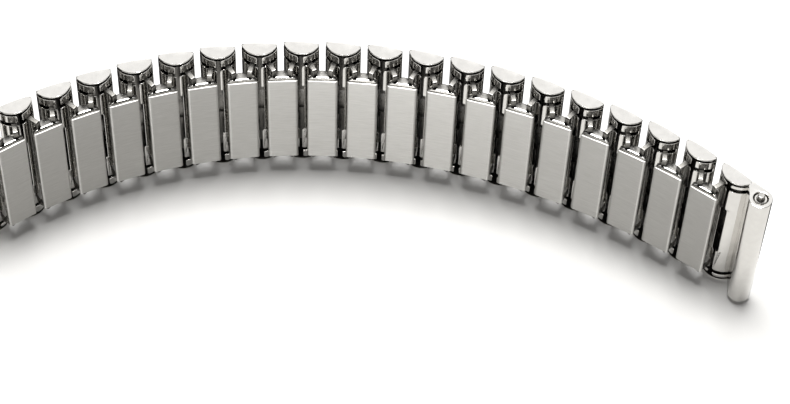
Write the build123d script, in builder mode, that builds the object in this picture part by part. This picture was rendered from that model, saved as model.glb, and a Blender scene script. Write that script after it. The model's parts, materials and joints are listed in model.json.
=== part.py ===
"""Expansion watch band: two staggered rows of hollow half-round links, hinged by U-shaped staples.

The band stands on its edge. X runs along it, the outer row looks towards +Y, the row that
lies on the wrist looks towards -Y, and Z is up, across the width of the band.
Every link is made once, with its flat face on Y = 0 and its curved back towards +Y.
"""

import os
from math import atan2, cos, degrees, hypot, radians, sin, sqrt

from build123d import *

os.makedirs("parts", exist_ok=True)

# The band as a whole
outer_count = 18
pitch = 4.4
thickness = 3.35
sheet = 0.16
overrun = 1.0
bend_per_pitch = 3.9
bend_fade = 0.051
outer_turn = 5.0

# Outer link: a half-round sleeve with a folded end cap, a slot and staple windows in its back
outer_width = 3.85
outer_depth = 1.75
outer_side = 0.45
outer_length = 18.7
outer_corner = 0.28
outer_crown = 0.12
cap_gap = 0.18
slot_width = 0.45
wing_corner = 0.3
window_height = 0.55
seam_length = 3.4
leaf_slot_width = 0.8

# Inner link: a satin plate on a half-round sleeve with domed ends
inner_width = 3.3
inner_depth = 1.6
inner_side = 0.7
inner_length = 13.3
plate_thickness = 0.22
plate_corner = 0.09
plate_lip = 0.08
plate_step = 0.05
reveal_width = 0.07
reveal_depth = 0.1
dome_thickness = 0.42
dome_round = 0.34

# Staple: a flat strip bent to a U, one leg in each row
strip_width = 0.54
strip_thickness = 0.22
outer_leg_depth = 0.75
inner_leg_depth = 0.7
outer_leg_place = 0.58
inner_leg_place = 0.86
leg_length = 5.6
web_rise = 1.05
leg_clearance = 0.07
window_clearance = 0.1

# Leaf spring: a bowed strip that presses the legs from the front wall
leaf_thickness = 0.08
leaf_clearance = 0.04
outer_leaf_width = 2.3
inner_leaf_width = 2.5
leaf_bow = 0.42
leaf_end_space = 0.5
leaf_corner = 0.3

# End piece and spring bar, for 18 mm lugs
end_wing_height = 0.6
lug_neck = 0.55
lug_plate_thickness = 0.8
tube_diameter = 2.5
bar_diameter = 1.5
bar_clearance = 0.1
bar_wall = 0.12
bar_neck_length = 0.3
bar_end_space = 0.1
tip_diameter = 0.8
tip_root_diameter = 0.86
tip_taper_reach = 0.1
tip_reach = 0.65
tip_round = 0.12
tip_head_length = 0.8
tip_clearance = 0.05
tip_travel = 0.55
coil_wall = 0.2

# Sizes that follow from these. Each outer link rocks clockwise by outer_turn between its two
# neighbours, and its two staples lean the other way by staple_turn.
staple_span = hypot(
    thickness - outer_leg_depth - inner_leg_depth,
    pitch / 2 - outer_leg_place - inner_leg_place,
)
gap_shift = pitch / 2 - inner_leg_place - outer_leg_place * cos(radians(outer_turn))
gap_rise = outer_leg_place * sin(radians(outer_turn))
staple_turn = degrees(atan2(gap_rise, gap_shift))
staple_shift = hypot(gap_shift, gap_rise)
staple_drop = sqrt(staple_span**2 - staple_shift**2)
mid_height = outer_length / 2
inner_top = mid_height + inner_length / 2
web_top = inner_top + web_rise
window_top = web_top + window_clearance
window_bottom = window_top - window_height
end_length = 2 * (window_top + end_wing_height + cap_gap + sheet - mid_height)
leg_sweep = hypot(strip_width, strip_thickness) / 2 + leg_clearance
sleeve_width = inner_width - 2 * plate_step


def half_round(width, depth, side, corner, crown=0):
    """Outline with its front edge on Y = 0, flat or crowned, straight sides and one arc as its back."""
    with BuildSketch() as outline:
        with BuildLine():
            Line((-width / 2, side), (-width / 2, crown))
            if crown:
                ThreePointArc((-width / 2, crown), (0, 0), (width / 2, crown))
            else:
                Line((-width / 2, 0), (width / 2, 0))
            Line((width / 2, crown), (width / 2, side))
            ThreePointArc((width / 2, side), (0, depth), (-width / 2, side))
        make_face()
        fillet(outline.vertices().sort_by(Axis.Y)[:2], corner)
    return outline.sketch


def sleeve(length):
    """Outer sleeve of one length: folded end caps, wings beside the slot, windows and seams."""
    end_height = mid_height + length / 2
    outline = half_round(outer_width, outer_depth, outer_side, outer_corner, outer_crown)
    with BuildPart() as body:
        with BuildSketch(Plane.XY.offset(mid_height - length / 2)):
            add(outline)
        extrude(amount=length)
        with BuildSketch(Plane.XY.offset(mid_height - length / 2 + sheet)):
            add(outline)
            offset(amount=-sheet)
        extrude(amount=length - 2 * sheet, mode=Mode.SUBTRACT)
        # The gap under each folded cap and the windows for the staple webs
        rim = end_height - sheet - cap_gap
        for low, high, start in (
            (rim, end_height - sheet, outer_crown + sheet),
            (window_bottom, window_top, outer_side + sheet),
        ):
            for base in (low, outer_length - high):
                with BuildSketch(Plane.XY.offset(base)):
                    with Locations((0, (start + outer_depth + overrun) / 2)):
                        Rectangle(outer_width + overrun, outer_depth + overrun - start)
                extrude(amount=high - low, mode=Mode.SUBTRACT)
        # The narrow slot between the wings, with rounded corners at its mouth
        for mouth, foot, way in (
            (rim, window_bottom, 1),
            (outer_length - rim, outer_length - window_bottom, -1),
        ):
            with BuildSketch(Plane.XZ.offset(-outer_depth - overrun)):
                with BuildLine():
                    RadiusArc(
                        (-slot_width / 2 - wing_corner, mouth),
                        (-slot_width / 2, mouth - way * wing_corner),
                        -way * wing_corner,
                    )
                    Line((-slot_width / 2, mouth - way * wing_corner), (-slot_width / 2, foot))
                    Line((-slot_width / 2, foot), (slot_width / 2, foot))
                    Line((slot_width / 2, foot), (slot_width / 2, mouth - way * wing_corner))
                    RadiusArc(
                        (slot_width / 2, mouth - way * wing_corner),
                        (slot_width / 2 + wing_corner, mouth),
                        -way * wing_corner,
                    )
                    Line((slot_width / 2 + wing_corner, mouth), (-slot_width / 2 - wing_corner, mouth))
                make_face()
            extrude(amount=outer_depth + overrun - outer_side, mode=Mode.SUBTRACT)
        # The wider slot in the middle, where the leaf spring shows
        slot_length = 2 * (window_bottom - seam_length - mid_height)
        with BuildSketch(Plane.XZ.offset(-outer_depth - overrun)):
            with Locations((0, mid_height)):
                SlotOverall(slot_length, leaf_slot_width, rotation=90)
        extrude(amount=outer_depth + overrun - outer_side, mode=Mode.SUBTRACT)
    return body.part


def leaf_spring(width, length, crown=0):
    """Strip beside the front wall, bowed in the middle, between the tips of the legs."""
    near = crown + sheet + leaf_clearance
    far = near + leaf_thickness
    low = mid_height - length / 2
    high = mid_height + length / 2
    bow_low = outer_length - web_top + leg_length + leaf_end_space
    bow_high = outer_length - bow_low
    with BuildPart() as leaf:
        with BuildSketch(Plane.YZ.offset(-width / 2)):
            with BuildLine():
                Polyline((near, bow_low), (near, low), (far, low), (far, bow_low))
                ThreePointArc((far, bow_low), (far + leaf_bow, mid_height), (far, bow_high))
                Polyline((far, bow_high), (far, high), (near, high), (near, bow_high))
                ThreePointArc((near, bow_high), (near + leaf_bow, mid_height), (near, bow_low))
            make_face()
        extrude(amount=width)
        fillet(leaf.edges().filter_by(Axis.Y), leaf_corner)
    return leaf.part


# Outer link shell
with BuildPart() as outer_shell:
    add(sleeve(outer_length))
outer_shell.part.label = "outer_shell"

# Leaf spring of an outer link
with BuildPart() as outer_leaf:
    add(leaf_spring(outer_leaf_width, 2 * (window_bottom - mid_height), outer_crown))
outer_leaf.part.label = "outer_leaf"

# Inner link shell: sleeve, satin plate, domed ends with room for the legs
with BuildPart() as inner_shell:
    with BuildSketch(Plane.XY.offset(mid_height - inner_length / 2 + plate_lip)):
        add(half_round(sleeve_width, inner_depth, inner_side, plate_corner))
    extrude(amount=inner_length - 2 * plate_lip)
    dome_edges = [
        edge
        for level in (inner_shell.faces().sort_by(Axis.Z)[0], inner_shell.faces().sort_by(Axis.Z)[-1])
        for edge in level.edges().filter_by(GeomType.CIRCLE).sort_by(SortBy.LENGTH)[-1:]
    ]
    fillet(dome_edges, dome_round)
    with BuildSketch(Plane.XY.offset(mid_height - inner_length / 2)):
        with Locations((0, plate_thickness / 2)):
            RectangleRounded(inner_width, plate_thickness, plate_corner)
    extrude(amount=inner_length)
    with BuildSketch(Plane.XY.offset(mid_height - inner_length / 2 + plate_lip + dome_thickness)):
        add(half_round(sleeve_width, inner_depth, inner_side, plate_corner))
        offset(amount=-sheet)
    extrude(amount=inner_length - 2 * plate_lip - 2 * dome_thickness, mode=Mode.SUBTRACT)
    # The fine line between plate and dome
    for base in (mid_height - inner_length / 2, inner_top - plate_lip - reveal_depth):
        with BuildSketch(Plane.XY.offset(base)):
            with Locations((0, plate_thickness + reveal_width / 2)):
                Rectangle(inner_width, reveal_width)
        extrude(amount=plate_lip + reveal_depth, mode=Mode.SUBTRACT)
    # Round ways for the legs through both domed ends
    with BuildSketch(Plane.XY.offset(mid_height - inner_length / 2 - overrun)):
        with Locations((-inner_leg_place, inner_leg_depth), (inner_leg_place, inner_leg_depth)):
            Circle(leg_sweep)
    extrude(amount=inner_length + 2 * overrun, mode=Mode.SUBTRACT)
    # The slot where the edges of the rolled sheet meet
    with BuildSketch(Plane.XY.offset(mid_height - inner_length / 2 + plate_lip + dome_thickness)):
        with Locations((0, inner_depth)):
            Rectangle(slot_width, inner_depth)
    extrude(amount=inner_length - 2 * plate_lip - 2 * dome_thickness, mode=Mode.SUBTRACT)
inner_shell.part.label = "inner_shell"

# Leaf spring of an inner link
with BuildPart() as inner_leaf:
    add(leaf_spring(inner_leaf_width, inner_length - 2 * plate_lip - 2 * dome_thickness - leaf_end_space))
inner_leaf.part.label = "inner_leaf"

# Staple: its inner leg stands on the origin and its outer leg at staple_span along Y
with BuildPart() as staple:
    with BuildSketch(Plane.YZ.offset(-strip_width / 2)) as bow:
        with Locations((staple_span / 2, web_top - leg_length / 2)):
            Rectangle(staple_span + strip_thickness, leg_length)
        fillet(bow.vertices().group_by(Axis.Y)[-1], strip_thickness)
        with Locations((staple_span / 2, web_top - strip_thickness - leg_length / 2)):
            Rectangle(staple_span - strip_thickness, leg_length, mode=Mode.SUBTRACT)
    extrude(amount=strip_width)
staple.part.label = "staple"

# Both staples of one joint: at the upper edge and at the lower edge of the band
staple_pair = [staple.part, mirror(staple.part, about=Plane.XY.offset(mid_height))]

# End piece: a shorter sleeve with a tube for the spring bar, drawn with the tube towards +X
tube_x = outer_width / 2 + lug_neck + tube_diameter / 2
tube_y = tube_diameter / 2
with BuildPart() as end_casing:
    add(sleeve(end_length))
    with BuildSketch(Plane.XY.offset(mid_height - end_length / 2)):
        with Locations((tube_x, tube_y)):
            Circle(tube_diameter / 2)
        with Locations(((outer_width / 2 - sheet + tube_x) / 2, lug_plate_thickness / 2)):
            Rectangle(tube_x - outer_width / 2 + sheet, lug_plate_thickness)
        with Locations((tube_x, tube_y)):
            Circle((bar_diameter + bar_clearance) / 2, mode=Mode.SUBTRACT)
    extrude(amount=end_length)
end_casing.part.label = "end_casing"

# Spring bar: a barrel with necked ends, two tips that slide in it and a coil between them
bar_top = mid_height + end_length / 2 - bar_end_space
bar_bore = bar_diameter - 2 * bar_wall
with BuildPart() as bar_barrel:
    with BuildSketch(Plane.XY.offset(outer_length - bar_top)):
        with Locations((tube_x, tube_y)):
            Circle(bar_diameter / 2)
            Circle(tip_root_diameter / 2 + tip_clearance, mode=Mode.SUBTRACT)
    extrude(amount=2 * (bar_top - mid_height))
    with BuildSketch(Plane.XY.offset(outer_length - bar_top + bar_neck_length)):
        with Locations((tube_x, tube_y)):
            Circle(bar_bore / 2)
    extrude(amount=2 * (bar_top - bar_neck_length - mid_height), mode=Mode.SUBTRACT)
bar_barrel.part.label = "bar_barrel"

head_top = bar_top - bar_neck_length - tip_clearance
with BuildPart() as bar_tip:
    with BuildSketch(Plane.XY.offset(head_top - tip_head_length)):
        with Locations((tube_x, tube_y)):
            Circle(bar_bore / 2 - tip_clearance)
    extrude(amount=tip_head_length)
    taper_top = bar_top + tip_taper_reach
    with Locations((tube_x, tube_y, head_top)):
        Cone(
            tip_root_diameter / 2, tip_diameter / 2, taper_top - head_top,
            align=(Align.CENTER, Align.CENTER, Align.MIN),
        )
    with BuildSketch(Plane.XY.offset(taper_top)):
        with Locations((tube_x, tube_y)):
            Circle(tip_diameter / 2)
    extrude(amount=tip_reach - tip_taper_reach)
    fillet(bar_tip.faces().sort_by(Axis.Z)[-1].edges(), tip_round)
bar_tip.part.label = "bar_tip"

coil_top = head_top - tip_head_length - tip_travel - bar_end_space
with BuildPart() as bar_coil:
    with BuildSketch(Plane.XY.offset(outer_length - coil_top)):
        with Locations((tube_x, tube_y)):
            Circle(bar_bore / 2 - 2 * tip_clearance)
            Circle(bar_bore / 2 - 2 * tip_clearance - coil_wall, mode=Mode.SUBTRACT)
    extrude(amount=2 * (coil_top - mid_height))
bar_coil.part.label = "bar_coil"

# The chain. Places count pitches from the middle inner link: inner links lie on whole
# places and outer links on half places, with an end piece as the last outer one each way.
inner_leg_level = inner_leg_depth - thickness / 2
outer_leg_level = thickness / 2 - outer_leg_depth
lean = degrees(atan2(staple_shift, staple_drop))
last_place = (outer_count + 1) / 2
half_count = 1 / 2
stiff_place = half_count - outer_count / 2


def heading(place):
    """Turn of the band about Z: it curves towards its wrist side, less to the right."""
    return bend_fade * place**2 - bend_per_pitch * place


def link_heading(place):
    return heading(place) if place == int(place) else heading(place) - outer_turn


def turned(x, y, angle):
    return Vector(x, y, 0).rotate(Axis.Z, angle)


link_points = {0.0: Vector(0, 0, 0)}
staple_places = {}
for way in (1, -1):
    place = 0.0
    while abs(place) < last_place:
        far_place = place + way * half_count
        mean = (heading(place) + heading(far_place)) / 2 + staple_turn
        near_is_inner = place == int(place)
        if near_is_inner:
            near_leg = turned(way * inner_leg_place, inner_leg_level, link_heading(place))
            far_leg = turned(-way * outer_leg_place, outer_leg_level, link_heading(far_place))
            reach = turned(way * staple_shift, staple_drop, mean)
        else:
            near_leg = turned(way * outer_leg_place, outer_leg_level, link_heading(place))
            far_leg = turned(-way * inner_leg_place, inner_leg_level, link_heading(far_place))
            reach = turned(way * staple_shift, -staple_drop, mean)
        near_point = link_points[place] + near_leg
        far_point = near_point + reach
        link_points[far_place] = far_point - far_leg
        inner_point, outer_point = (near_point, far_point) if near_is_inner else (far_point, near_point)
        staple_places[(place + far_place) / 2] = {
            "inner_point": inner_point,
            "outer_point": outer_point,
            "angle": mean + (-lean * way if near_is_inner else lean * way),
            "way": way,
            # A staple of its own turns at both legs; the others ride on their outer link
            "stretches": near_is_inner and abs(far_place) < last_place and far_place != stiff_place,
        }
        place = far_place


def placed_link(shapes, place):
    """Solids of one link, set at its place; outer links face the other way."""
    angle = link_heading(place)
    is_inner = place == int(place)
    front = turned(0, -thickness / 2 if is_inner else thickness / 2, angle)
    spot = Location(link_points[place] + front, (0, 0, angle if is_inner else angle + 180))
    return [shape.moved(spot) for shape in shapes]


def placed_staples(place):
    entry = staple_places[place]
    return [shape.moved(Location(entry["inner_point"], (0, 0, entry["angle"]))) for shape in staple_pair]


def riding_staples(place):
    """The staples that stay with the outer link or end piece at this place."""
    return [
        solid
        for side in (place - half_count / 2, place + half_count / 2)
        if side in staple_places and not staple_places[side]["stretches"]
        for solid in placed_staples(side)
    ]


nodes = {}
for number in range(1, outer_count + 1):
    place = stiff_place + number - 1
    solids = placed_link([outer_shell.part, outer_leaf.part], place)
    nodes[f"outer_link_{number:02d}"] = solids + riding_staples(place)
for number in range(1, outer_count + 2):
    place = number - 1 - outer_count / 2
    nodes[f"inner_link_{number:02d}"] = placed_link([inner_shell.part, inner_leaf.part], place)
stretch_places = [place for place in sorted(staple_places) if staple_places[place]["stretches"]]
for number, place in enumerate(stretch_places, start=1):
    nodes[f"staple_pair_{number:02d}"] = placed_staples(place)

# Left end piece as drawn, right one mirrored, each with its spring bar and its two tips
lower_tip = mirror(bar_tip.part, about=Plane.XY.offset(mid_height))
for side, place in (("left", -last_place), ("right", last_place)):
    shapes = [end_casing.part, bar_barrel.part, bar_coil.part, bar_tip.part, lower_tip]
    if side == "right":
        shapes = [mirror(shape, about=Plane.YZ) for shape in shapes]
    casing, barrel, coil, upper, lower = placed_link(shapes, place)
    leaf = placed_link([outer_leaf.part], place)
    nodes[f"end_piece_{side}"] = [casing, barrel, coil] + leaf + riding_staples(place)
    nodes[f"bar_tip_{side}_upper"] = [upper]
    nodes[f"bar_tip_{side}_lower"] = [lower]

# The origin is the middle of the band's foot
boxes = [solid.bounding_box() for solids in nodes.values() for solid in solids]
low_x, high_x = min(box.min.X for box in boxes), max(box.max.X for box in boxes)
low_y, high_y = min(box.min.Y for box in boxes), max(box.max.Y for box in boxes)
to_foot = Location((-(low_x + high_x) / 2, -(low_y + high_y) / 2, -min(box.min.Z for box in boxes)))
for name, solids in nodes.items():
    group = Compound(label=name, children=[solid.moved(to_foot) for solid in solids])
    export_step(group, f"parts/{name}.step")
print("nodes", len(nodes), "length", round(high_x - low_x, 2), "depth", round(high_y - low_y, 2))
print("staple span", round(staple_span, 3), "lean", round(lean, 2))
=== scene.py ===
"""Expansion watch band: polished half-round links outside, satin plates inside, on bent staples.

Pieces are drawn in millimetres in the frame of one link, with the flat face on Y = 0 and the
curved back towards +Y, and are then set along the band in metres.
"""

import json
from math import asin, atan2, cos, degrees, hypot, pi, radians, sin, sqrt, tan

import bmesh
import bpy
from mathutils import Matrix, Vector

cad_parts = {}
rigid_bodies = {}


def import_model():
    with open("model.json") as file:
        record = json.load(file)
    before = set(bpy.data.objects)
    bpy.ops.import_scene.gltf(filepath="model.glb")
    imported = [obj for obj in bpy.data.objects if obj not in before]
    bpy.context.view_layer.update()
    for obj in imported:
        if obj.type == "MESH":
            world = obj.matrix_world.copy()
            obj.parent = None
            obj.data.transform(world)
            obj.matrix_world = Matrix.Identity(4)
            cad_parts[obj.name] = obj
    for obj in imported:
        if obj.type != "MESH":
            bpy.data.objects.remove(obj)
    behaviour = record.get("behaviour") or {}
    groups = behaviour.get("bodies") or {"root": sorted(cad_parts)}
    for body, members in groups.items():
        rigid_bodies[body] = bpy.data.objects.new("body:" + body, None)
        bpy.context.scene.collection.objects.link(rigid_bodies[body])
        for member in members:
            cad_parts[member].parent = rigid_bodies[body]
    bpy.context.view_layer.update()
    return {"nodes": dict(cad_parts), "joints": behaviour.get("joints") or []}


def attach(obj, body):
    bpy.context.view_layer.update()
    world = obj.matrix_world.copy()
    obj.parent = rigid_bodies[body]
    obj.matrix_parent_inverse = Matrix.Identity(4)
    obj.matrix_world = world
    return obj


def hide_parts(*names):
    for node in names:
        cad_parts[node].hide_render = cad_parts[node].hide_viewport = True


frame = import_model()

# Sizes of the band in millimetres, as in the source of the part
millimetre = 0.001
outer_count = 18
pitch = 4.4
thickness = 3.35
sheet = 0.16
bend_per_pitch = 3.9
bend_fade = 0.051
outer_turn = 5.0
outer_width = 3.85
outer_depth = 1.75
outer_side = 0.45
outer_length = 18.7
outer_corner = 0.28
outer_crown = 0.12
cap_gap = 0.18
window_height = 0.55
seam_length = 3.4
leaf_slot_width = 0.8
inner_width = 3.3
inner_depth = 1.6
inner_side = 0.7
inner_length = 13.3
plate_thickness = 0.22
plate_corner = 0.09
plate_lip = 0.08
plate_step = 0.05
strip_width = 0.54
strip_thickness = 0.22
outer_leg_depth = 0.75
inner_leg_depth = 0.7
outer_leg_place = 0.58
inner_leg_place = 0.86
leg_length = 5.6
web_rise = 1.05
window_clearance = 0.1
leaf_thickness = 0.08
leaf_clearance = 0.04
outer_leaf_width = 2.3
inner_leaf_width = 2.5
leaf_bow = 0.42
leaf_end_space = 0.5
end_wing_height = 0.6
lug_neck = 0.55
lug_plate_thickness = 0.8
tube_diameter = 2.5
bar_diameter = 1.5
bar_clearance = 0.1
bar_wall = 0.12
bar_neck_length = 0.3
bar_end_space = 0.1
tip_root_diameter = 0.86
tip_clearance = 0.05
tip_head_length = 0.8
tip_travel = 0.55
coil_wall = 0.2

# Finer sizes that only the dressed pieces have
wing_slot_width = 0.53
wing_corner = 0.3
rim_drop = 0.12
seam_gap = 0.32
seam_corner = 0.22
cut_corner = 0.06
fold_radius = 0.1
edge_break = 0.055
plate_edge_break = 0.06
plate_roll_width = 0.28
plate_roll_depth = 0.18
flat_margin = 0.03
sleeve_gap = 0.05
dome_height = 0.5
dome_rise = 0.2
dome_peak_depth = 0.7
dome_squareness = 3.6
hole_clearance = 0.02
strip_edge = 0.05
strip_bend = 0.53 * strip_thickness
tube_edge_break = 0.08
groove_start = 1.1
groove_slope = 0.1
groove_floor = 0.3
groove_depth = 0.06
bar_end_taper = 0.18
bar_end_round = 0.06
bar_end_narrowing = 0.05
bore_slope = 0.05
coil_pitch = 0.3

# Parts into which each curve of a mesh is cut, and angles in degrees up to which it looks smooth
flat_steps = 3
front_steps = 6
back_steps = 14
corner_steps = 4
fold_steps = 3
dome_steps = 9
roll_steps = 6
bend_steps = 5
edge_steps = 2
leaf_steps = 16
hole_steps = 24
round_steps = 40
coil_steps = 14
wire_steps = 6
smooth_angle = 20
dome_smooth_angle = 38
# Far below any real size, to tell two places on a sheet apart
hair = 1e-3

seat = plate_thickness + sleeve_gap
mid_height = outer_length / 2
inner_top = mid_height + inner_length / 2
web_top = inner_top + web_rise
window_top = web_top + window_clearance
window_bottom = window_top - window_height
end_length = 2 * (window_top + end_wing_height + cap_gap + sheet - mid_height)
sleeve_width = inner_width - 2 * plate_step
staple_span = hypot(
    thickness - outer_leg_depth - inner_leg_depth,
    pitch / 2 - outer_leg_place - inner_leg_place,
)
gap_shift = pitch / 2 - inner_leg_place - outer_leg_place * cos(radians(outer_turn))
gap_rise = outer_leg_place * sin(radians(outer_turn))
staple_turn = degrees(atan2(gap_rise, gap_shift))
staple_shift = hypot(gap_shift, gap_rise)
staple_drop = sqrt(staple_span**2 - staple_shift**2)
lean = degrees(atan2(staple_shift, staple_drop))
tube_x = outer_width / 2 + lug_neck + tube_diameter / 2
tube_y = tube_diameter / 2
bar_top = mid_height + end_length / 2 - bar_end_space
bar_bore = bar_diameter - 2 * bar_wall
tip_space = tip_clearance + tip_head_length + tip_travel + bar_end_space
coil_top = bar_top - bar_neck_length - tip_space


def add_node(tree, kind, inputs=None, **settings):
    """Add a node with its settings, and give its inputs a value or a link."""
    made = tree.nodes.new(kind)
    for name, value in settings.items():
        setattr(made, name, value)
    for name, value in (inputs or {}).items():
        if isinstance(value, bpy.types.NodeSocket):
            tree.links.new(value, made.inputs[name])
        else:
            made.inputs[name].default_value = value
    return made


def linear(hex_colour):
    """An sRGB hex colour as linear red, green, blue and alpha."""
    values = []
    for start in (1, 3, 5):
        value = int(hex_colour[start:start + 2], 16) / 255
        values.append(value / 12.92 if value <= 0.04045 else ((value + 0.055) / 1.055) ** 2.4)
    return (*values, 1.0)


def per_metre(size):
    """Scale of a pattern whose grain is this many millimetres."""
    return 1 / (size * millimetre)


# Finishes. A grain's noise lies mostly between these two values, and its relief is in millimetres.
grain_low = 0.3
grain_high = 0.7
grain_relief = 0.01


def steel(name, light, dark, rough, spread, grain, bump, brushed=0.0):
    """Metal whose colour and roughness follow a grain, given as its size along X, Y and Z.

    Brushed level, it spreads light up and down more than to the sides.
    """
    material = bpy.data.materials.new(name)
    material.use_nodes = True
    tree = material.node_tree
    tree.nodes.clear()
    place = add_node(tree, "ShaderNodeTexCoord")
    fitted = add_node(
        tree, "ShaderNodeMapping",
        {"Vector": place.outputs["Object"], "Scale": [per_metre(size) for size in grain]},
    )
    noise = add_node(
        tree, "ShaderNodeTexNoise",
        {"Vector": fitted.outputs["Vector"], "Scale": 1.0, "Detail": 4.0, "Roughness": 0.6},
    )
    colour = add_node(tree, "ShaderNodeValToRGB", {"Fac": noise.outputs["Fac"]})
    colour.color_ramp.elements[0].position = grain_low
    colour.color_ramp.elements[0].color = linear(dark)
    colour.color_ramp.elements[1].position = grain_high
    colour.color_ramp.elements[1].color = linear(light)
    roughness = add_node(
        tree, "ShaderNodeMapRange",
        {
            "Value": noise.outputs["Fac"], "From Min": grain_low, "From Max": grain_high,
            "To Min": rough - spread, "To Max": rough + spread,
        },
    )
    relief = add_node(
        tree, "ShaderNodeBump",
        {
            "Height": noise.outputs["Fac"], "Strength": bump,
            "Distance": grain_relief * millimetre,
        },
    )
    upright = add_node(tree, "ShaderNodeCombineXYZ", {"Z": 1.0})
    shader = add_node(
        tree, "ShaderNodeBsdfPrincipled",
        {
            "Base Color": colour.outputs["Color"], "Metallic": 1.0,
            "Roughness": roughness.outputs["Result"], "Normal": relief.outputs["Normal"],
            "Anisotropic": brushed, "Tangent": upright.outputs["Vector"],
        },
    )
    add_node(tree, "ShaderNodeOutputMaterial", {"Surface": shader.outputs["BSDF"]})
    return material


# Mirror-polished stainless steel: clear reflections, with a faint haze from the wheel
polished_steel = steel(
    "mirror_polished_stainless", "#e0deda", "#d8d6d2",
    rough=0.12, spread=0.02, grain=(0.9, 0.9, 0.9), bump=0.03,
)
# Satin stainless steel: brushed across the plate, so light spreads in fine level streaks.
# Real scratches are about 0.02 mm apart; here they are drawn coarser so that they show.
satin_steel = steel(
    "satin_brushed_stainless", "#c6c5c1", "#b2b0ac",
    rough=0.52, spread=0.05, grain=(1.6, 1.6, 0.07), bump=0.14, brushed=0.85,
)
# Formed sheet of the inner sleeves: drawn bright, with soft reflections
drawn_steel = steel(
    "bright_drawn_stainless", "#b4b2ae", "#a19f9b",
    rough=0.24, spread=0.05, grain=(0.5, 0.5, 0.5), bump=0.06,
)
# Cold-rolled spring strip: bright and a little streaked along its length
strip_steel = steel(
    "cold_rolled_spring_strip", "#8b8985", "#6c6a66",
    rough=0.3, spread=0.07, grain=(0.08, 0.08, 1.5), bump=0.15,
)
# Inside of the rolled sheet: unpolished, and coloured near black as painted shade in the hollows
inside_steel_painted_shade = steel(
    "unpolished_inside_of_sheet", "#4a4845", "#2a2927",
    rough=0.5, spread=0.08, grain=(0.3, 0.3, 0.3), bump=0.2,
)
# Turned spring-bar steel: fine rings around the axis
turned_steel = steel(
    "turned_bar_steel", "#bcbab6", "#9d9b97",
    rough=0.28, spread=0.06, grain=(2.0, 2.0, 0.06), bump=0.2,
)


# The band's curve, as in the source of the part. A place is counted in pitches from the middle
# link: whole for an inner link, half for an outer one.
def heading(place):
    """Direction of the band's middle line, in degrees."""
    return bend_fade * place**2 - bend_per_pitch * place


def link_heading(place):
    """Direction of a link. The outer ones lean over in their gaps."""
    return heading(place) if place == int(place) else heading(place) - outer_turn


def turned(x, y, angle):
    """Vector in the plane of the floor, turned by an angle in degrees."""
    return Matrix.Rotation(radians(angle), 3, "Z") @ Vector((x, y, 0))


def lay_out_band():
    """Middle point of every link and both pins of every staple, by place along the band."""
    half = 1 / 2
    last_place = (outer_count + 1) / 2
    stiff_place = half - outer_count / 2
    inner_spot = (inner_leg_place, inner_leg_depth - thickness / 2)
    outer_spot = (outer_leg_place, thickness / 2 - outer_leg_depth)
    points = {0.0: Vector((0, 0, 0))}
    staples = {}
    for way in (1, -1):
        place = 0.0
        while abs(place) < last_place:
            far = place + way * half
            mean = (heading(place) + heading(far)) / 2 + staple_turn
            starts_inside = place == int(place)
            spots = (inner_spot, outer_spot) if starts_inside else (outer_spot, inner_spot)
            near_spot, far_spot = spots
            near_leg = turned(way * near_spot[0], near_spot[1], link_heading(place))
            far_leg = turned(-way * far_spot[0], far_spot[1], link_heading(far))
            drop = staple_drop if starts_inside else -staple_drop
            near_point = points[place] + near_leg
            far_point = near_point + turned(way * staple_shift, drop, mean)
            points[far] = far_point - far_leg
            staples[(place + far) / 2] = {
                "inner_point": near_point if starts_inside else far_point,
                "angle": mean + (-lean * way if starts_inside else lean * way),
                "outer_place": far if starts_inside else place,
                "stretches": starts_inside and abs(far) < last_place and far != stiff_place,
            }
            place = far
    return points, staples


link_points, staple_places = lay_out_band()
# The part stands on the middle of its box, and one staple's pin shows where the layout lies in it
known_joint = next(joint for joint in frame["joints"] if joint["name"] == "staple_turn_09")
known_place = 0.25
known_pin = Vector((*known_joint["pos_m"][:2], 0)) / millimetre
band_shift = known_pin - staple_places[known_place]["inner_point"]


# Drawing in sheet metal
def d_outline(width, depth, side, corner, crown):
    """Right half of a D outline, from the middle of its front round to the middle of its back."""
    half = width / 2
    points = []
    if crown:
        front_radius = (half**2 + crown**2) / (2 * crown)
        corner_x = half - corner
        corner_y = front_radius - sqrt((front_radius - corner) ** 2 - corner_x**2)
        swing = asin(corner_x / (front_radius - corner))
        for step in range(front_steps):
            angle = swing * step / front_steps
            points.append((front_radius * sin(angle), front_radius * (1 - cos(angle))))
        first = -pi / 2 + swing
    else:
        corner_x, corner_y = half - corner, corner
        points += [(corner_x * step / flat_steps, 0.0) for step in range(flat_steps)]
        first = -pi / 2
    for step in range(front_steps + 1):
        angle = first * (1 - step / front_steps)
        points.append((corner_x + corner * cos(angle), corner_y + corner * sin(angle)))
    rise = depth - side
    back_radius = (half**2 + rise**2) / (2 * rise)
    back_swing = asin(half / back_radius)
    for step in range(back_steps + 1):
        angle = back_swing * (1 - step / back_steps)
        points.append((back_radius * sin(angle), depth - back_radius * (1 - cos(angle))))
    return points


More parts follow.
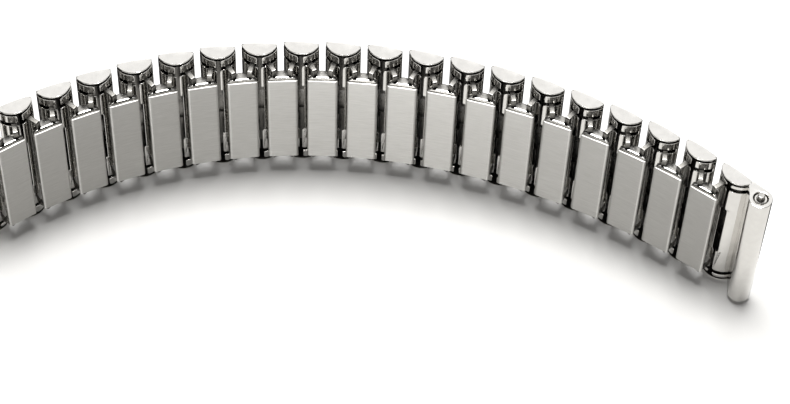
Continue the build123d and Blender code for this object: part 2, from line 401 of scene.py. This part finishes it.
class Outline:
    """A D outline that is measured along its edge from the middle of its front."""

    def __init__(self, width, depth, side, corner, crown=0):
        self.points = d_outline(width, depth, side, corner, crown)
        self.marks = [0.0]
        for a, b in zip(self.points, self.points[1:]):
            self.marks.append(self.marks[-1] + hypot(b[0] - a[0], b[1] - a[1]))
        self.reach = self.marks[-1]

    def at(self, along):
        """Point on the outline at this distance, to the left where it is negative."""
        left = along < 0
        along = min(abs(along), self.reach)
        for i in range(1, len(self.marks)):
            if along <= self.marks[i]:
                break
        part = (along - self.marks[i - 1]) / (self.marks[i] - self.marks[i - 1])
        x = self.points[i - 1][0] + part * (self.points[i][0] - self.points[i - 1][0])
        y = self.points[i - 1][1] + part * (self.points[i][1] - self.points[i - 1][1])
        return (-x if left else x), y

    def outward(self, along):
        """Direction that leads away from the link at this distance."""
        near, far = Vector(self.at(along - hair)), Vector(self.at(along + hair))
        run = (far - near).normalized()
        return Vector((run.y, -run.x))

    def where_back_is(self, x):
        """Distance along the outline where the back is this far from the middle."""
        for i in range(len(self.points) - 1, 0, -1):
            near, far = self.points[i], self.points[i - 1]
            if near[0] <= x <= far[0]:
                part = (x - near[0]) / (far[0] - near[0])
                return self.marks[i] - part * (self.marks[i] - self.marks[i - 1])
        return self.reach

    def where_side_is(self, y):
        """Distance along the outline where its side is this deep."""
        for i in range(1, len(self.points)):
            near, far = self.points[i - 1], self.points[i]
            if near[1] <= y <= far[1] and far[1] > near[1]:
                part = (y - near[1]) / (far[1] - near[1])
                return self.marks[i - 1] + part * (self.marks[i] - self.marks[i - 1])
        return self.reach


def rounded(corners):
    """Closed outline through corners given as two coordinates and a radius."""
    points = []
    for i, (across, up, radius) in enumerate(corners):
        here = Vector((across, up))
        back = (Vector(corners[i - 1][:2]) - here).normalized()
        on = (Vector(corners[(i + 1) % len(corners)][:2]) - here).normalized()
        if radius == 0:
            points.append(here)
            continue
        half = back.angle(on) / 2
        centre = here + (back + on).normalized() * radius / sin(half)
        start = here + back * radius / tan(half) - centre
        end = here + on * radius / tan(half) - centre
        swing = start.angle_signed(end)
        for step in range(corner_steps + 1):
            points.append(centre + Matrix.Rotation(-swing * step / corner_steps, 2) @ start)
    return points


def new_object(name, data):
    """Object of this name in the scene."""
    made = bpy.data.objects.new(name, data)
    bpy.context.scene.collection.objects.link(made)
    return made


def from_bmesh(name, shape, materials):
    """Object made of a drawn shape, with its materials in order."""
    mesh = bpy.data.meshes.new(name)
    shape.to_mesh(mesh)
    shape.free()
    for material in materials:
        mesh.materials.append(material)
    return new_object(name, mesh)


def settled(piece, smooth_up_to=smooth_angle):
    """The object with its modifiers worked into its mesh, smooth up to an angle if one is given."""
    bpy.context.view_layer.update()
    graph = bpy.context.evaluated_depsgraph_get()
    mesh = bpy.data.meshes.new_from_object(piece.evaluated_get(graph), depsgraph=graph)
    piece.modifiers.clear()
    if piece.type == "MESH":
        piece.data = mesh
    else:
        curve_object, piece = piece, new_object(piece.name + "_mesh", mesh)
        bpy.data.objects.remove(curve_object)
    if smooth_up_to:
        mesh.shade_smooth()
        mesh.set_sharp_from_angle(angle=radians(smooth_up_to))
    return piece


def break_edges(piece, width, segments=2, angle=40):
    """Round the edges that are sharper than this angle, as deburring does."""
    bevel = piece.modifiers.new("broken_edges", "BEVEL")
    bevel.width = width
    bevel.segments = segments
    bevel.limit_method = "ANGLE"
    bevel.angle_limit = radians(angle)
    bevel.use_clamp_overlap = False


def give_wall(piece, wall):
    """Make a wall inwards from the outline. Its inside takes the next material."""
    solidify = piece.modifiers.new("sheet", "SOLIDIFY")
    solidify.thickness = wall
    solidify.offset = -1
    solidify.use_even_offset = True
    solidify.material_offset = 1


def blank_corners(outline, end_height, cap_end):
    """Corners of an outer sleeve's flat blank, as distance round the link, height and radius."""
    rim = end_height - sheet - cap_gap - rim_drop
    leaf_slot_top = window_bottom - seam_length
    leaf_slot_edge = outline.where_back_is(leaf_slot_width / 2)
    seam_edge = outline.where_back_is(seam_gap / 2)
    wing_edge = outline.where_back_is(wing_slot_width / 2)
    window_end = outline.where_side_is(outer_side + sheet)
    right_upper = [
        (leaf_slot_edge, leaf_slot_top, leaf_slot_width / 4),
        (seam_edge, leaf_slot_top, cut_corner),
        (seam_edge, window_bottom, seam_corner),
        (window_end, window_bottom, cut_corner),
        (window_end, window_top, cut_corner),
        (wing_edge, window_top, cut_corner),
        (wing_edge, rim, wing_corner),
        (cap_end, rim, cut_corner),
        (cap_end, end_height - fold_radius, 0),
    ]
    left_upper = [(-along, height, radius) for along, height, radius in reversed(right_upper)]
    left_lower = [(-along, outer_length - height, radius) for along, height, radius in right_upper]
    right_lower = [(-along, height, radius) for along, height, radius in reversed(left_lower)]
    return right_upper + left_upper + left_lower + right_lower


def fold_cap(blank, outline, row, way, height, cap_end):
    """Fold the rolled sheet over into the cap at this height, from a row of its vertices."""
    rings = [[vert for _, vert in row]]
    for step in range(1, fold_steps + 1):
        angle = pi / 2 * step / fold_steps
        ring = []
        for along, vert in row:
            inset = outline.outward(along) * fold_radius * (1 - cos(angle))
            rise = height - way * fold_radius * (1 - sin(angle))
            ring.append(blank.verts.new((vert.co.x - inset.x, vert.co.y - inset.y, rise)))
        rings.append(ring)
    for low, high in zip(rings, rings[1:]):
        for i in range(len(row) - 1):
            corners = (low[i], low[i + 1], high[i + 1], high[i])
            blank.faces.new(corners if way > 0 else corners[::-1])
    back = [mark for mark in outline.marks if mark > cap_end + hair]
    round_back = back + [-mark for mark in reversed(back[:-1])]
    lid = rings[-1] + [blank.verts.new((*outline.at(along), height)) for along in round_back]
    blank.faces.new(lid if way > 0 else lid[::-1])


def outer_sleeve(name, length):
    """Polished sleeve: one blank rolled to a D, with wings, windows, seam and folded end caps."""
    outline = Outline(outer_width, outer_depth, outer_side, outer_corner, outer_crown)
    cap_end = outline.where_side_is(outer_crown + sheet)
    end_height = mid_height + length / 2
    blank = bmesh.new()
    flat = rounded(blank_corners(outline, end_height, cap_end))
    blank.faces.new([blank.verts.new((along, 0, height)) for along, height in flat])
    for mark in outline.marks:
        for cut in {mark, -mark}:
            bmesh.ops.bisect_plane(
                blank, geom=blank.verts[:] + blank.edges[:] + blank.faces[:], dist=hair / 100,
                plane_co=(cut, 0, 0), plane_no=(1, 0, 0),
            )
    # Vertices where the sheet folds over into the upper and the lower cap, from left to right
    folds = []
    for way, height in ((1, end_height), (-1, outer_length - end_height)):
        level = height - way * fold_radius
        found = [vert for vert in blank.verts if abs(vert.co.z - level) < hair / 10]
        row = [(vert.co.x, vert) for vert in sorted(found, key=lambda vert: vert.co.x)]
        folds.append((row, way, height))
    for vert in blank.verts:
        vert.co.x, vert.co.y = outline.at(vert.co.x)
    for row, way, height in folds:
        fold_cap(blank, outline, row, way, height, cap_end)
    # The inside of the sheet takes the near-black colour, painted shade in the hollow link
    sleeve = from_bmesh(name, blank, [polished_steel, inside_steel_painted_shade])
    give_wall(sleeve, sheet)
    break_edges(sleeve, edge_break)
    return settled(sleeve)


def drilled(body):
    """The inner sleeve with the ways for the legs of its staples, from end to end."""
    ways = bmesh.new()
    hole = hypot(strip_width, strip_thickness) / 2 + hole_clearance
    for place in (-inner_leg_place, inner_leg_place):
        bmesh.ops.create_cone(
            ways, cap_ends=True, segments=hole_steps, radius1=hole, radius2=hole,
            depth=outer_length,
            matrix=Matrix.Translation((place, inner_leg_depth, mid_height)),
        )
    # The walls of the ways take the near-black colour, painted shade in the holes
    drill = from_bmesh("leg_ways", ways, [inside_steel_painted_shade])
    cut = body.modifiers.new("leg_ways", "BOOLEAN")
    cut.object = drill
    cut.solver = "EXACT"
    cut.use_self = True
    cut.use_hole_tolerant = True
    body = settled(body, dome_smooth_angle)
    bpy.data.objects.remove(drill)
    return body


def inner_sleeve(name):
    """Drawn sleeve of an inner link with its two pillow-shaped ends and the ways for the legs."""
    outline = Outline(sleeve_width, inner_depth - seat, inner_side - seat, plate_corner)
    slot_edge = outline.where_back_is(seam_gap / 2)
    right = [mark for mark in outline.marks if mark < slot_edge - hair]
    right += [slot_edge, outline.reach]
    columns = [-mark for mark in reversed(right[1:])] + right
    slot_columns = {len(columns) - 2, 0}
    top = inner_top + dome_rise
    base = top - dome_height
    rings = []
    for step in range(dome_steps):
        shrink = cos(pi / 2 * step / dome_steps)
        rise = dome_height * (1 - shrink**dome_squareness) ** (1 / dome_squareness)
        rings.append((shrink, base + rise))
    levels = [(shrink, outer_length - height) for shrink, height in reversed(rings)] + rings
    sleeve = bmesh.new()
    grid = []
    for shrink, height in levels:
        row = []
        for along in columns[:-1]:
            x, y = outline.at(along)
            depth = dome_peak_depth + (y + seat - dome_peak_depth) * shrink
            row.append(sleeve.verts.new((x * shrink, depth, height)))
        grid.append(row)
    count = len(grid[0])
    for level, (low, high) in enumerate(zip(grid, grid[1:])):
        for i in range(count):
            if level == len(rings) - 1 and i in slot_columns:
                continue
            sleeve.faces.new((low[i], low[(i + 1) % count], high[(i + 1) % count], high[i]))
    for row, height, way in ((grid[0], outer_length - top, -1), (grid[-1], top, 1)):
        peak = sleeve.verts.new((0, dome_peak_depth, height))
        for i in range(count):
            corners = (row[i], row[(i + 1) % count], peak)
            sleeve.faces.new(corners if way > 0 else corners[::-1])
    # The inside of the sheet takes the near-black colour, painted shade in the hollow link
    body = from_bmesh(name, sleeve, [drawn_steel, inside_steel_painted_shade])
    give_wall(body, sheet)
    return drilled(settled(body))


def inner_plate(name):
    """Satin plate whose long edges roll back round the sleeve."""
    half = inner_width / 2
    profile = [(half - plate_roll_width - flat_margin, 0.0)]
    for step in range(roll_steps + 1):
        angle = pi / 2 * step / roll_steps
        across = half - plate_roll_width * (1 - sin(angle))
        profile.append((across, plate_roll_depth * (1 - cos(angle))))
    profile.append((half, plate_thickness))
    section = [(-x, y) for x, y in reversed(profile)] + profile
    plate = bmesh.new()
    low, high = mid_height - inner_length / 2, inner_top
    rows = [[plate.verts.new((x, y, height)) for x, y in section] for height in (low, high)]
    count = len(section)
    for i in range(count):
        j = (i + 1) % count
        plate.faces.new((rows[0][i], rows[0][j], rows[1][j], rows[1][i]))
    plate.faces.new(rows[0][::-1])
    plate.faces.new(rows[1])
    piece = from_bmesh(name, plate, [satin_steel])
    break_edges(piece, plate_edge_break, segments=3, angle=50)
    return settled(piece)


# Bent strips and the coil, made by geometry nodes
def new_tree(name, inputs):
    """Empty geometry tree with these inputs, given as name, socket type and first value."""
    tree = bpy.data.node_groups.new(name, "GeometryNodeTree")
    tree.interface.new_socket("Geometry", in_out="INPUT", socket_type="NodeSocketGeometry")
    tree.interface.new_socket("Geometry", in_out="OUTPUT", socket_type="NodeSocketGeometry")
    for label, kind, value in inputs:
        socket = tree.interface.new_socket(label, in_out="INPUT", socket_type=kind)
        if value is not None:
            socket.default_value = value
    return tree, add_node(tree, "NodeGroupInput").outputs


def close_tree(tree, geometry, finish):
    """End of every tree: real geometry with its finish, save for the inside of a sheet."""
    real = add_node(tree, "GeometryNodeRealizeInstances", {"Geometry": geometry})
    index = add_node(tree, "GeometryNodeInputMaterialIndex")
    outside = add_node(
        tree, "FunctionNodeCompare", {"A": index.outputs[0]}, data_type="INT", operation="EQUAL"
    )
    dressed = add_node(
        tree, "GeometryNodeSetMaterial",
        {"Geometry": real.outputs[0], "Selection": outside.outputs[0], "Material": finish},
    )
    add_node(tree, "NodeGroupOutput", {0: dressed.outputs[0]})


def bent_strip_tree():
    """Flat strip with broken edges along the object's own curve, which is bent at its corners."""
    tree, given = new_tree("bent_strip", [
        ("Width", "NodeSocketFloat", strip_width),
        ("Thickness", "NodeSocketFloat", strip_thickness),
        ("Edge", "NodeSocketFloat", strip_edge),
        ("Bend", "NodeSocketFloat", strip_bend),
        ("Finish", "NodeSocketMaterial", None),
    ])
    bent = add_node(
        tree, "GeometryNodeFilletCurve",
        {"Curve": given["Geometry"], "Radius": given["Bend"], "Count": bend_steps}, mode="POLY",
    )
    section = add_node(
        tree, "GeometryNodeCurvePrimitiveQuadrilateral",
        {"Width": given["Width"], "Height": given["Thickness"]},
    )
    soft = add_node(
        tree, "GeometryNodeFilletCurve",
        {"Curve": section.outputs[0], "Radius": given["Edge"], "Count": edge_steps}, mode="POLY",
    )
    swept = add_node(
        tree, "GeometryNodeCurveToMesh",
        {"Curve": bent.outputs[0], "Profile Curve": soft.outputs[0], "Fill Caps": True},
    )
    close_tree(tree, swept.outputs[0], given["Finish"])
    return tree


def coil_tree():
    """Round wire wound on a cylinder, for the spring in the spring bar."""
    tree, given = new_tree("wound_wire", [
        ("Turns", "NodeSocketFloat", 1.0),
        ("Radius", "NodeSocketFloat", bar_bore / 2),
        ("Length", "NodeSocketFloat", coil_pitch),
        ("Wire", "NodeSocketFloat", coil_wall / 2),
        ("Finish", "NodeSocketMaterial", None),
    ])
    path = add_node(
        tree, "GeometryNodeCurveSpiral",
        {
            "Resolution": coil_steps, "Rotations": given["Turns"], "Start Radius": given["Radius"],
            "End Radius": given["Radius"], "Height": given["Length"],
        },
    )
    wire = add_node(
        tree, "GeometryNodeCurvePrimitiveCircle",
        {"Resolution": wire_steps, "Radius": given["Wire"]},
    )
    swept = add_node(
        tree, "GeometryNodeCurveToMesh",
        {"Curve": path.outputs[0], "Profile Curve": wire.outputs[0], "Fill Caps": True},
    )
    close_tree(tree, swept.outputs[0], given["Finish"])
    return tree


def band_place_tree():
    """One piece, or an upper and a lower one, set at its place on the band, in metres."""
    tree, given = new_tree("set_on_band", [
        ("Piece", "NodeSocketObject", None),
        ("Count", "NodeSocketInt", 1),
        ("Flip Height", "NodeSocketFloat", outer_length),
        ("Place", "NodeSocketVector", (0, 0, 0)),
        ("Turn", "NodeSocketFloat", 0.0),
        ("Scale", "NodeSocketFloat", millimetre),
        ("Finish", "NodeSocketMaterial", None),
    ])
    piece = add_node(tree, "GeometryNodeObjectInfo", {"Object": given["Piece"]})
    number = add_node(tree, "GeometryNodeInputIndex")
    height = add_node(
        tree, "ShaderNodeMath", {0: number.outputs[0], 1: given["Flip Height"]},
        operation="MULTIPLY",
    )
    spot = add_node(tree, "ShaderNodeCombineXYZ", {"Z": height.outputs[0]})
    points = add_node(
        tree, "GeometryNodePoints", {"Count": given["Count"], "Position": spot.outputs[0]}
    )
    half_turn = add_node(
        tree, "ShaderNodeMath", {0: number.outputs[0], 1: pi}, operation="MULTIPLY"
    )
    flip = add_node(tree, "ShaderNodeCombineXYZ", {"Y": half_turn.outputs[0]})
    copies = add_node(
        tree, "GeometryNodeInstanceOnPoints",
        {
            "Points": points.outputs[0], "Instance": piece.outputs["Geometry"],
            "Rotation": flip.outputs[0],
        },
    )
    turn = add_node(tree, "ShaderNodeCombineXYZ", {"Z": given["Turn"]})
    size = add_node(
        tree, "ShaderNodeCombineXYZ", {axis: given["Scale"] for axis in "XYZ"}
    )
    shift = add_node(
        tree, "ShaderNodeVectorMath", {0: given["Place"], 1: size.outputs[0]}, operation="MULTIPLY"
    )
    placed = add_node(
        tree, "GeometryNodeTransform",
        {
            "Geometry": copies.outputs[0], "Translation": shift.outputs[0],
            "Rotation": turn.outputs[0], "Scale": size.outputs[0],
        },
    )
    close_tree(tree, placed.outputs[0], given["Finish"])
    return tree


def with_tree(piece, tree, **inputs):
    """Give an object a geometry tree and set its inputs, in which _ stands for a space."""
    modifier = piece.modifiers.new(tree.name, "NODES")
    modifier.node_group = tree
    sockets = {
        item.name: item.identifier for item in tree.interface.items_tree if item.in_out == "INPUT"
    }
    for label, value in inputs.items():
        modifier[sockets[label.replace("_", " ")]] = value
    return piece


strip_tree = bent_strip_tree()
wire_tree = coil_tree()
place_tree = band_place_tree()


def bent_strip(name, path, width, wall, edge, bend, finish):
    """Strip of spring steel bent along a path of points in the YZ plane."""
    curve = bpy.data.curves.new(name, "CURVE")
    curve.dimensions = "3D"
    spline = curve.splines.new("POLY")
    spline.points.add(len(path) - 1)
    for point, (y, z) in zip(spline.points, path):
        point.co = (0, y, z, 1)
    strip = new_object(name, curve)
    with_tree(strip, strip_tree, Width=width, Thickness=wall, Edge=edge, Bend=bend, Finish=finish)
    return settled(strip)


def staple(name):
    """Strip bent to a U: one leg stands in an inner link, the other in an outer link."""
    foot = web_top - leg_length
    web = web_top - strip_thickness / 2
    path = [(0, foot), (0, web), (staple_span, web), (staple_span, foot)]
    return bent_strip(
        name, path, strip_width, strip_thickness, strip_edge, strip_bend, strip_steel
    )


def leaf_spring(name, width, length, crown):
    """Bowed leaf that presses the legs apart from the front wall."""
    rest = crown + sheet + leaf_clearance + leaf_thickness / 2
    low = mid_height - length / 2
    bow_low = outer_length - web_top + leg_length + leaf_end_space
    span = 2 * (mid_height - bow_low)
    radius = (span**2 / 4 + leaf_bow**2) / (2 * leaf_bow)
    path = [(rest, low)]
    for step in range(leaf_steps + 1):
        height = bow_low + span * step / leaf_steps
        fall = radius - sqrt(radius**2 - (height - mid_height) ** 2)
        path.append((rest + leaf_bow - fall, height))
    path.append((rest, outer_length - low))
    return bent_strip(name, path, width, leaf_thickness, leaf_thickness / 4, 0, strip_steel)


def turned_profile(name, profile, x, y, finish):
    """Solid of revolution about an upright axis through x and y, from radius and height pairs."""
    shape = bmesh.new()
    rows = []
    for radius, height in profile:
        row = []
        for i in range(round_steps):
            angle = 2 * pi * i / round_steps
            row.append(shape.verts.new((x + radius * cos(angle), y + radius * sin(angle), height)))
        rows.append(row)
    closed = rows + rows[:1]
    for low, high in zip(closed, closed[1:]):
        for i in range(round_steps):
            j = (i + 1) % round_steps
            shape.faces.new((low[i], low[j], high[j], high[i]))
    bmesh.ops.recalc_face_normals(shape, faces=shape.faces[:])
    return settled(from_bmesh(name, shape, [finish]))


def lug_tube(name):
    """Tube for the spring bar with the neck that joins it to the end sleeve."""
    low = mid_height - end_length / 2
    bore = (bar_diameter + bar_clearance) / 2
    radius = tube_diameter / 2
    neck_start = outer_width / 2 - sheet
    meet = asin((tube_y - lug_plate_thickness) / radius)
    rim = []
    for step in range(round_steps + 1):
        angle = -pi / 2 + (1.5 * pi - meet) * step / round_steps
        rim.append((tube_x + radius * cos(angle), tube_y + radius * sin(angle)))
    rim += [(neck_start, lug_plate_thickness), (neck_start, 0)]
    hole = []
    for step in range(round_steps):
        angle = 2 * pi * step / round_steps
        hole.append((tube_x + bore * cos(angle), tube_y + bore * sin(angle)))
    shape = bmesh.new()
    edges = []
    for loop in (rim, hole):
        verts = [shape.verts.new((x, y, low)) for x, y in loop]
        edges += [shape.edges.new((verts[i - 1], verts[i])) for i in range(len(verts))]
    bmesh.ops.triangle_fill(shape, edges=edges, use_beauty=True)
    grown = bmesh.ops.extrude_face_region(shape, geom=shape.faces[:])
    for item in grown["geom"]:
        if isinstance(item, bmesh.types.BMVert):
            item.co.z += end_length
    bmesh.ops.recalc_face_normals(shape, faces=shape.faces[:])
    tube = from_bmesh(name, shape, [polished_steel])
    break_edges(tube, tube_edge_break, segments=3, angle=60)
    return settled(tube)


def spring_bar(name):
    """Barrel of the spring bar with necked ends, hollow for the tips and the coil."""
    low, high = outer_length - bar_top, bar_top
    radius = bar_diameter / 2
    hole = tip_root_diameter / 2 + tip_clearance
    neck = radius - bar_wall
    groove_top = high - groove_start - groove_slope
    groove_bottom = groove_top - groove_floor
    bore_top = high - bar_neck_length
    upper = [
        (radius, groove_bottom - groove_slope), (radius - groove_depth, groove_bottom),
        (radius - groove_depth, groove_top), (radius, groove_top + groove_slope),
        (radius, high - bar_end_taper), (radius - bar_end_narrowing, high - bar_end_round),
        (neck, high), (hole, high), (hole, bore_top), (bar_bore / 2, bore_top - bore_slope),
    ]
    lower = [(r, low + high - z) for r, z in reversed(upper)]
    return turned_profile(name, upper + lower, tube_x, tube_y, turned_steel)


def bar_coil(name):
    """Coil spring between the two tips, inside the barrel."""
    length = 2 * (coil_top - mid_height)
    radius = bar_bore / 2 - 2 * tip_clearance - coil_wall / 2
    wound = new_object(name, bpy.data.meshes.new(name))
    with_tree(
        wound, wire_tree, Turns=length / coil_pitch, Length=length, Radius=radius,
        Wire=coil_wall / 2, Finish=strip_steel,
    )
    wound = settled(wound)
    wound.data.transform(Matrix.Translation((tube_x, tube_y, mid_height - length / 2)))
    return wound


def mirrored(piece, name):
    """The same piece the other way round in X."""
    shape = bmesh.new()
    shape.from_mesh(piece.data)
    bmesh.ops.scale(shape, vec=(-1, 1, 1), verts=shape.verts[:])
    bmesh.ops.reverse_faces(shape, faces=shape.faces[:])
    return settled(from_bmesh(name, shape, list(piece.data.materials)))


# One of each piece, drawn once
link_sleeve = outer_sleeve("drawn_outer_sleeve", outer_length)
end_sleeve = outer_sleeve("drawn_end_sleeve", end_length)
outer_room = 2 * (window_bottom - mid_height)
outer_leaf = leaf_spring("drawn_outer_leaf", outer_leaf_width, outer_room, outer_crown)
inner_room = inner_length - 2 * plate_lip - 2 * dome_height - leaf_end_space
inner_leaf = leaf_spring("drawn_inner_leaf", inner_leaf_width, inner_room, 0)
sleeve_piece = inner_sleeve("drawn_inner_sleeve")
plate_piece = inner_plate("drawn_inner_plate")
staple_piece = staple("drawn_staple")
left_fittings = [lug_tube("drawn_tube"), spring_bar("drawn_barrel"), bar_coil("drawn_coil")]
right_fittings = [mirrored(piece, piece.name + "_right") for piece in left_fittings]

# What each link is made of: label, drawn piece, slot and finish
leaf_part = ("leaf", outer_leaf, "staple_steel", strip_steel)
inner_parts = [
    ("plate", plate_piece, "satin_steel", satin_steel),
    ("sleeve", sleeve_piece, "satin_steel", drawn_steel),
    ("leaf", inner_leaf, "staple_steel", strip_steel),
]
outer_parts = [("sleeve", link_sleeve, "polished_steel", polished_steel), leaf_part]
end_parts = {
    side: [
        ("sleeve", end_sleeve, "polished_steel", polished_steel),
        leaf_part,
        ("tube", tube, "polished_steel", polished_steel),
        ("bar", barrel, "turned_steel", turned_steel),
        ("coil", coil, "staple_steel", strip_steel),
    ]
    for side, (tube, barrel, coil) in (
        ("end_piece_left", left_fittings), ("end_piece_right", right_fittings),
    )
}


def set_on_band(name, drawn, spot, angle, body, finish, count=1):
    """Set one drawn piece on the band as a mesh of its own, in place of its body's CAD solids."""
    piece = new_object(name, bpy.data.meshes.new(name))
    with_tree(
        piece, place_tree, Piece=drawn, Count=count, Place=spot + band_shift, Turn=radians(angle),
        Finish=finish,
    )
    piece = settled(piece, None)
    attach(piece, body)
    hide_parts(body)


def link_spot(place):
    """Place and turn of a link's own frame, whose flat face is the front."""
    angle = link_heading(place)
    inner = place == int(place)
    front = turned(0, -thickness / 2 if inner else thickness / 2, angle)
    return link_points[place] + front, angle if inner else angle + 180


def outer_body(place):
    """The body that carries the outer link or the end piece at this place."""
    number = int(place + outer_count / 2 + 1 / 2)
    if number == 0:
        return "end_piece_left"
    if number > outer_count:
        return "end_piece_right"
    return f"outer_link_{number:02d}"


stretching = sorted(place for place in staple_places if staple_places[place]["stretches"])

for place in link_points:
    spot, angle = link_spot(place)
    if place == int(place):
        body = f"inner_link_{int(place + outer_count / 2) + 1:02d}"
        parts = inner_parts
    else:
        body = outer_body(place)
        parts = end_parts.get(body, outer_parts)
    for label, drawn, slot, finish in parts:
        set_on_band(f"{body}_{label}", drawn, spot, angle, body, finish)

for place, entry in staple_places.items():
    if entry["stretches"]:
        body = f"staple_pair_{stretching.index(place) + 1:02d}"
        name = body + "_strips"
    else:
        body = outer_body(entry["outer_place"])
        name = f"{body}_staples_{'right' if place > entry['outer_place'] else 'left'}"
    set_on_band(
        name, staple_piece, entry["inner_point"], entry["angle"], body,
        strip_steel, count=2,
    )

for side in ("left", "right"):
    for end in ("upper", "lower"):
        tip = frame["nodes"][f"bar_tip_{side}_{end}"]
        tip.data.materials.clear()
        tip.data.materials.append(turned_steel)

for drawn in [item for item in bpy.data.objects if item.name.startswith("drawn_")]:
    bpy.data.objects.remove(drawn)


# Studio: pale card under the band, a broad soft light above it, and a dark room with bright parts
# for the steel to reflect. Lengths of the card are in millimetres, those of the light in metres.
card_colour = "#b9b8b6"
card_roughness = 0.6
card_reach = 160
card_margin = 1.0
light_place = Vector((-0.01, 0.14, 0.94))
light_size = 0.34
light_power = 16.5
room_colour = "#262524"
room_strength = 1.5
# Bright parts: direction, the cosines off it at which the glow starts and is full, and strength
cloth_above = ((0.0, 0.585, 0.811), 0.78, 0.93, 0.78)
window_in_front = ((-0.13, -0.93, 0.33), 0.885, 0.985, 2.75)
wall_behind = ((0.0, 0.98, -0.2), 0.56, 0.86, 0.5)


def pale_floor():
    """Pale card that the band stands on, which ends along the back of the band."""
    back_edge = []
    for place in sorted(link_points):
        outward = turned(0, thickness / 2 + card_margin, link_heading(place))
        back = link_points[place] + outward + band_shift
        back_edge.append((back.x, back.y))
    left, right = back_edge[0][1], back_edge[-1][1]
    outline = [(-card_reach, -card_reach), (card_reach, -card_reach), (card_reach, right)]
    outline += [*reversed(back_edge), (-card_reach, left)]
    mesh = bpy.data.meshes.new("floor")
    mesh.from_pydata(
        [(x * millimetre, y * millimetre, 0) for x, y in outline], [], [range(len(outline))]
    )
    floor = new_object("floor", mesh)
    material = bpy.data.materials.new("matt_card")
    material.use_nodes = True
    shader = material.node_tree.nodes["Principled BSDF"]
    shader.inputs["Base Color"].default_value = linear(card_colour)
    shader.inputs["Roughness"].default_value = card_roughness
    mesh.materials.append(material)


def soft_light():
    """Square soft box aimed at the middle of the band's foot."""
    light = bpy.data.lights.new("top_box", "AREA")
    light.shape = "SQUARE"
    light.size = light_size
    light.energy = light_power
    lamp = new_object("top_box", light)
    lamp.location = light_place
    lamp.rotation_euler = (-light_place).to_track_quat("-Z", "Y").to_euler()


def glow(tree, direction, aim, start, full, strength):
    """Part of the room that is bright around one direction and fades to black."""
    towards = add_node(
        tree, "ShaderNodeVectorMath", {0: direction, 1: aim}, operation="DOT_PRODUCT",
    )
    ramp = add_node(tree, "ShaderNodeValToRGB", {"Fac": towards.outputs["Value"]})
    ramp.color_ramp.elements[0].position = start
    ramp.color_ramp.elements[1].position = full
    ramp.color_ramp.elements[1].color = (strength, strength, strength, 1.0)
    return ramp.outputs["Color"]


def surroundings():
    """Dark room with its bright parts, which the camera itself sees as plain white."""
    world = bpy.data.worlds.new("studio")
    world.use_nodes = True
    tree = world.node_tree
    tree.nodes.clear()
    direction = add_node(tree, "ShaderNodeTexCoord").outputs["Generated"]
    room = linear(room_colour)
    for bright_part in (cloth_above, window_in_front, wall_behind):
        room = add_node(
            tree, "ShaderNodeMix",
            {"Factor": 1.0, "A": glow(tree, direction, *bright_part), "B": room},
            data_type="RGBA", blend_type="ADD",
        ).outputs["Result"]
    seen = add_node(tree, "ShaderNodeLightPath")
    pale = add_node(
        tree, "ShaderNodeMix",
        {"Factor": seen.outputs["Is Camera Ray"], "A": room, "B": linear("#ffffff")},
        data_type="RGBA",
    )
    sky = add_node(
        tree, "ShaderNodeBackground", {"Color": pale.outputs["Result"], "Strength": room_strength}
    )
    add_node(tree, "ShaderNodeOutputWorld", {"Surface": sky.outputs["Background"]})
    bpy.context.scene.world = world


def studio():
    pale_floor()
    surroundings()
    soft_light()
    bpy.context.scene.view_settings.view_transform = "Standard"


# Camera, fitted to the corners of plates and caps in the picture of 790 by 404 pixels.
# Angles are in degrees, and its place and nearest sight in millimetres.
picture_width = 790
sensor_width = 36
focal_pixels = 2576.1
camera_pitch = 54.18
camera_swing = 2.91
camera_roll = 2.501
camera_place = Vector((12.45, -165.24, 232.65))
nearest_sight = 10


def camera():
    """Camera that looks down on the inside of the band, turned a little in all three ways."""
    tilt, swing, roll = (radians(a) for a in (camera_pitch, camera_swing, camera_roll))
    forward = Vector((-sin(swing) * cos(tilt), cos(swing) * cos(tilt), -sin(tilt)))
    right = Vector((cos(swing), sin(swing), 0))
    up = right.cross(forward)
    across = cos(roll) * right + sin(roll) * up
    upward = cos(roll) * up - sin(roll) * right
    lens = bpy.data.cameras.new("camera")
    lens.sensor_fit = "HORIZONTAL"
    lens.sensor_width = sensor_width
    lens.lens = focal_pixels / picture_width * sensor_width
    lens.clip_start = nearest_sight * millimetre
    eye = new_object("camera", lens)
    turn = Matrix((across, upward, -forward)).transposed().to_4x4()
    eye.matrix_world = Matrix.Translation(camera_place * millimetre) @ turn
    bpy.context.scene.camera = eye


studio()
camera()
